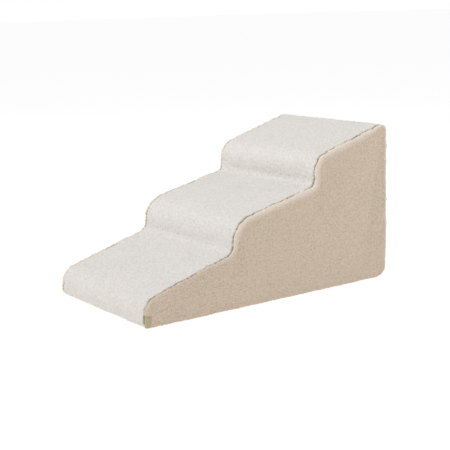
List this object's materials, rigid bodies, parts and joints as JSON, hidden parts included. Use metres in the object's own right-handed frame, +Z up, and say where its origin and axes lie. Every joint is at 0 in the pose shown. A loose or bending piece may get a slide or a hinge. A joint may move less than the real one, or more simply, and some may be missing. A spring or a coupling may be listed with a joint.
{
  "type": "dog ramp",
  "caption": "Low foam ramp of sloping, rounded treads for a pet to climb onto furniture, in a zipped fleece cover.",
  "frame": {"origin": "middle of the footprint, on the floor", "axes": "+X from the low front to the tall back, +Y to the climber's left, +Z up"},
  "size_m": [0.56, 0.31, 0.304],
  "materials": {
    "fleece_cream": "short dense fleece pile, off-white",
    "fleece_beige": "short dense fleece pile, beige",
    "base_cloth": "plain woven cloth with clear-grey rubber grip dots",
    "foam_firm": "firm open-cell polyurethane foam, cut faces",
    "foam_soft": "soft open-cell polyurethane foam, cut faces",
    "liner": "thin embossed non-woven cloth, white",
    "zip_tape": "woven polyester tape, beige",
    "zip_coil": "nylon coil, beige, satin",
    "zip_metal": "die-cast metal, beige enamel, satin",
    "label_ribbon": "woven ribbon, olive khaki, blank",
    "thread": "spun polyester sewing thread, brown-grey"
  },
  "bodies": {
    "steps": {"foam_slab_lower": "foam_firm", "foam_slab_middle": "foam_firm", "foam_slab_upper": "foam_firm", "tread_pad_lower": "foam_soft", "tread_pad_middle": "foam_soft", "tread_pad_upper": "foam_soft", "liner_wrap": "liner", "liner_end_right": "liner", "liner_end_left": "liner", "step_panel": "fleece_cream", "back_panel": "fleece_beige", "side_panel_right": "fleece_beige", "side_panel_left": "fleece_beige", "zip_facing_strip": "fleece_beige", "base_panel": "base_cloth", "side_label": "label_ribbon", "seam_thread_right": "thread", "seam_thread_left": "thread", "zip_tape_upper": "zip_tape", "zip_tape_lower": "zip_tape", "zip_coil_upper": "zip_coil", "zip_coil_lower": "zip_coil", "zip_stops_closed_end": "zip_metal", "zip_stop_open_end": "zip_metal"},
    "slider": {"zip_slider": "zip_metal"},
    "pull": {"zip_pull": "zip_metal"}
  },
  "joints": [
    {"name": "zip_slide", "type": "slide", "parent": "steps", "child": "slider", "axis": [1, 0, 0], "range_m": [0, 0.45], "deforming": ["zip_coil_upper", "zip_coil_lower"]},
    {"name": "zip_pull_swing", "type": "hinge", "parent": "slider", "child": "pull", "pos_m": [-0.2392, 0.1538, 0.03], "axis": [0, 0, 1], "range_deg": [0, 150]}
  ]
}
